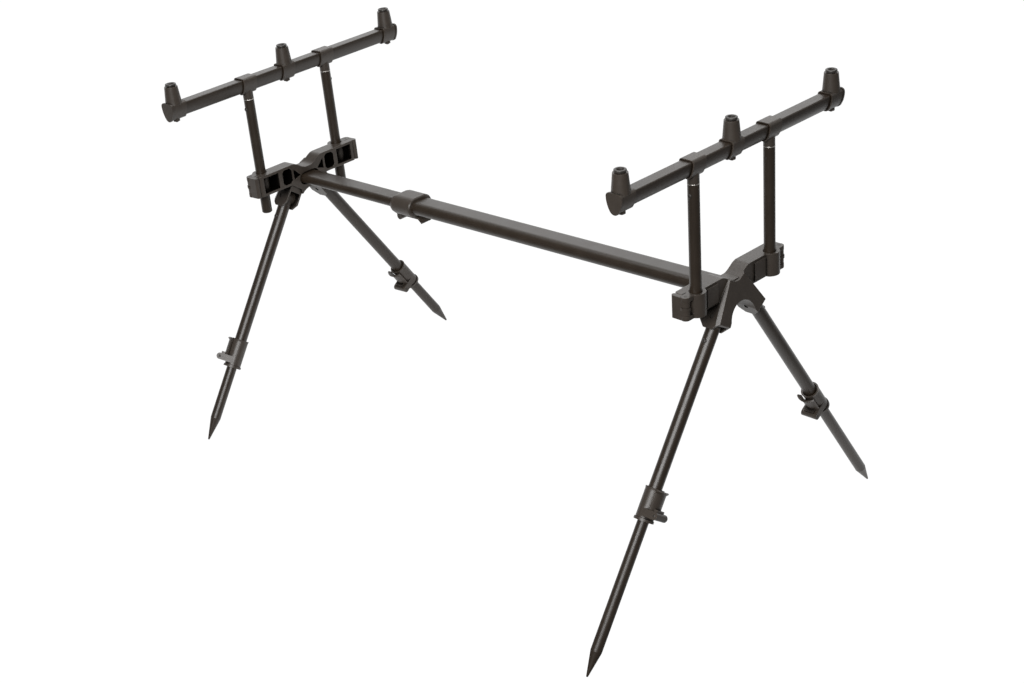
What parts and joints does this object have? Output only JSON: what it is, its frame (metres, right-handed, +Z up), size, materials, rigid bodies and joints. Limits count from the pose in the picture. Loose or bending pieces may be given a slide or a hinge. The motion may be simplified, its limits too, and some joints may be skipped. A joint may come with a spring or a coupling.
{
  "type": "rod pod",
  "caption": "Rod pod: telescopic flat-oval main bar between two hubs, each with folding telescopic legs and a height-adjustable cross bar with threaded alarm sockets.",
  "frame": {"origin": "on the ground under the middle of the main bar", "axes": "+X along the main bar to the front, taller end; +Y to the left; +Z up"},
  "size_m": [0.9419, 0.6534, 0.6835],
  "materials": {
    "tube": "satin dark anodised",
    "moulding": "fine matt grain",
    "spike": "satin dark anodised",
    "insert": "dark anodised, threaded",
    "fixing": "blackened steel"
  },
  "bodies": {
    "front_frame": {"front_hub": "moulding", "front_leg_pins": "fixing", "front_clamp_pins": "fixing", "bar_outer_tube": "tube", "bar_clamp": "moulding", "bar_lever_pin": "fixing"},
    "rear_frame": {"rear_hub": "moulding", "rear_leg_pins": "fixing", "rear_clamp_pins": "fixing", "bar_inner_tube": "tube", "bar_glide": "moulding"},
    "bar_lever": {"bar_lever": "moulding"},
    "front_goal": {"front_uprights": "tube", "front_upright_plugs": "moulding", "front_upright_rivets": "fixing", "front_tee_sleeves": "moulding", "front_cross_bar": "tube", "front_sockets": "moulding", "front_inserts": "insert", "front_socket_screws": "fixing"},
    "front_left_clamp_lever": {"front_left_clamp_lever": "moulding"},
    "front_left_leg": {"front_left_leg_head": "moulding", "front_left_leg_tube": "tube", "front_left_leg_pins": "fixing", "front_left_leg_clamp": "moulding"},
    "front_left_foot": {"front_left_lower_leg": "tube", "front_left_spike": "spike"},
    "front_left_leg_lever": {"front_left_leg_lever": "moulding"},
    "front_right_clamp_lever": {"front_right_clamp_lever": "moulding"},
    "front_right_leg": {"front_right_leg_head": "moulding", "front_right_leg_tube": "tube", "front_right_leg_pins": "fixing", "front_right_leg_clamp": "moulding"},
    "front_right_foot": {"front_right_lower_leg": "tube", "front_right_spike": "spike"},
    "front_right_leg_lever": {"front_right_leg_lever": "moulding"},
    "rear_goal": {"rear_uprights": "tube", "rear_upright_plugs": "moulding", "rear_upright_rivets": "fixing", "rear_tee_sleeves": "moulding", "rear_cross_bar": "tube", "rear_sockets": "moulding", "rear_inserts": "insert", "rear_socket_screws": "fixing"},
    "rear_left_clamp_lever": {"rear_left_clamp_lever": "moulding"},
    "rear_left_leg": {"rear_left_leg_head": "moulding", "rear_left_leg_tube": "tube", "rear_left_leg_pins": "fixing", "rear_left_leg_clamp": "moulding"},
    "rear_left_foot": {"rear_left_lower_leg": "tube", "rear_left_spike": "spike"},
    "rear_left_leg_lever": {"rear_left_leg_lever": "moulding"},
    "rear_right_clamp_lever": {"rear_right_clamp_lever": "moulding"},
    "rear_right_leg": {"rear_right_leg_head": "moulding", "rear_right_leg_tube": "tube", "rear_right_leg_pins": "fixing", "rear_right_leg_clamp": "moulding"},
    "rear_right_foot": {"rear_right_lower_leg": "tube", "rear_right_spike": "spike"},
    "rear_right_leg_lever": {"rear_right_leg_lever": "moulding"}
  },
  "joints": [
    {"name": "bar_slide", "type": "slide", "parent": "front_frame", "child": "rear_frame", "axis": [-0.9954, 0, -0.0961], "range_m": [-0.19, 0.15]},
    {"name": "bar_lever_hinge", "type": "hinge", "parent": "front_frame", "child": "bar_lever", "pos_m": [-0.19606, 0, 0.35762], "axis": [0, 1, 0], "range_deg": [0, 110]},
    {"name": "front_height_slide", "type": "slide", "parent": "front_frame", "child": "front_goal", "axis": [-0.063, 0, 0.998], "range_m": [-0.045, 0.012]},
    {"name": "front_left_clamp_hinge", "type": "hinge", "parent": "front_frame", "child": "front_left_clamp_lever", "pos_m": [0.43021, 0.1015, 0.45173], "axis": [0.063, 0, -0.998], "range_deg": [0, 110]},
    {"name": "front_left_fold", "type": "hinge", "parent": "front_frame", "child": "front_left_leg", "pos_m": [0.4327, 0.037, 0.4123], "axis": [-0.0362, 0.8192, 0.5724], "range_deg": [0, 88]},
    {"name": "front_left_foot_slide", "type": "slide", "parent": "front_left_leg", "child": "front_left_foot", "axis": [-0.0516, -0.5736, 0.8175], "range_m": [-0.012, 0.165]},
    {"name": "front_left_leg_lever_hinge", "type": "hinge", "parent": "front_left_leg", "child": "front_left_leg_lever", "pos_m": [0.44757, 0.17597, 0.17681], "axis": [0.998, 0, 0.063], "range_deg": [0, 115]},
    {"name": "front_right_clamp_hinge", "type": "hinge", "parent": "front_frame", "child": "front_right_clamp_lever", "pos_m": [0.43021, -0.1015, 0.45173], "axis": [-0.063, 0, 0.998], "range_deg": [0, 110]},
    {"name": "front_right_fold", "type": "hinge", "parent": "front_frame", "child": "front_right_leg", "pos_m": [0.4327, -0.037, 0.4123], "axis": [0.0362, 0.8192, -0.5724], "range_deg": [0, 88]},
    {"name": "front_right_foot_slide", "type": "slide", "parent": "front_right_leg", "child": "front_right_foot", "axis": [-0.0516, 0.5736, 0.8175], "range_m": [-0.012, 0.165]},
    {"name": "front_right_leg_lever_hinge", "type": "hinge", "parent": "front_right_leg", "child": "front_right_leg_lever", "pos_m": [0.46825, -0.19359, 0.19048], "axis": [0.0362, 0.8192, -0.5724], "range_deg": [0, 115]},
    {"name": "rear_height_slide", "type": "slide", "parent": "rear_frame", "child": "rear_goal", "axis": [-0.129, 0, 0.9916], "range_m": [-0.015, 0.043]},
    {"name": "rear_left_clamp_hinge", "type": "hinge", "parent": "rear_frame", "child": "rear_left_clamp_lever", "pos_m": [-0.43261, 0.1015, 0.36843], "axis": [-0.129, 0, 0.9916], "range_deg": [0, 110]},
    {"name": "rear_left_fold", "type": "hinge", "parent": "rear_frame", "child": "rear_left_leg", "pos_m": [-0.42751, 0.037, 0.32926], "axis": [0.074, -0.8192, -0.5688], "range_deg": [0, 88]},
    {"name": "rear_left_foot_slide", "type": "slide", "parent": "rear_left_leg", "child": "rear_left_foot", "axis": [-0.1057, -0.5736, 0.8123], "range_m": [-0.11, 0.065]},
    {"name": "rear_left_leg_lever_hinge", "type": "hinge", "parent": "rear_left_leg", "child": "rear_left_leg_lever", "pos_m": [-0.39707, 0.17597, 0.09528], "axis": [0.9916, 0, 0.129], "range_deg": [0, 115]},
    {"name": "rear_right_clamp_hinge", "type": "hinge", "parent": "rear_frame", "child": "rear_right_clamp_lever", "pos_m": [-0.43261, -0.1015, 0.36843], "axis": [0.129, 0, -0.9916], "range_deg": [0, 110]},
    {"name": "rear_right_fold", "type": "hinge", "parent": "rear_frame", "child": "rear_right_leg", "pos_m": [-0.42751, -0.037, 0.32926], "axis": [-0.074, -0.8192, 0.5688], "range_deg": [0, 88]},
    {"name": "rear_right_foot_slide", "type": "slide", "parent": "rear_right_leg", "child": "rear_right_foot", "axis": [-0.1057, 0.5736, 0.8123], "range_m": [-0.11, 0.065]},
    {"name": "rear_right_leg_lever_hinge", "type": "hinge", "parent": "rear_right_leg", "child": "rear_right_leg_lever", "pos_m": [-0.41703, -0.20369, 0.11225], "axis": [0.5082, -0.671, 0.5399], "range_deg": [0, 115]}
  ]
}
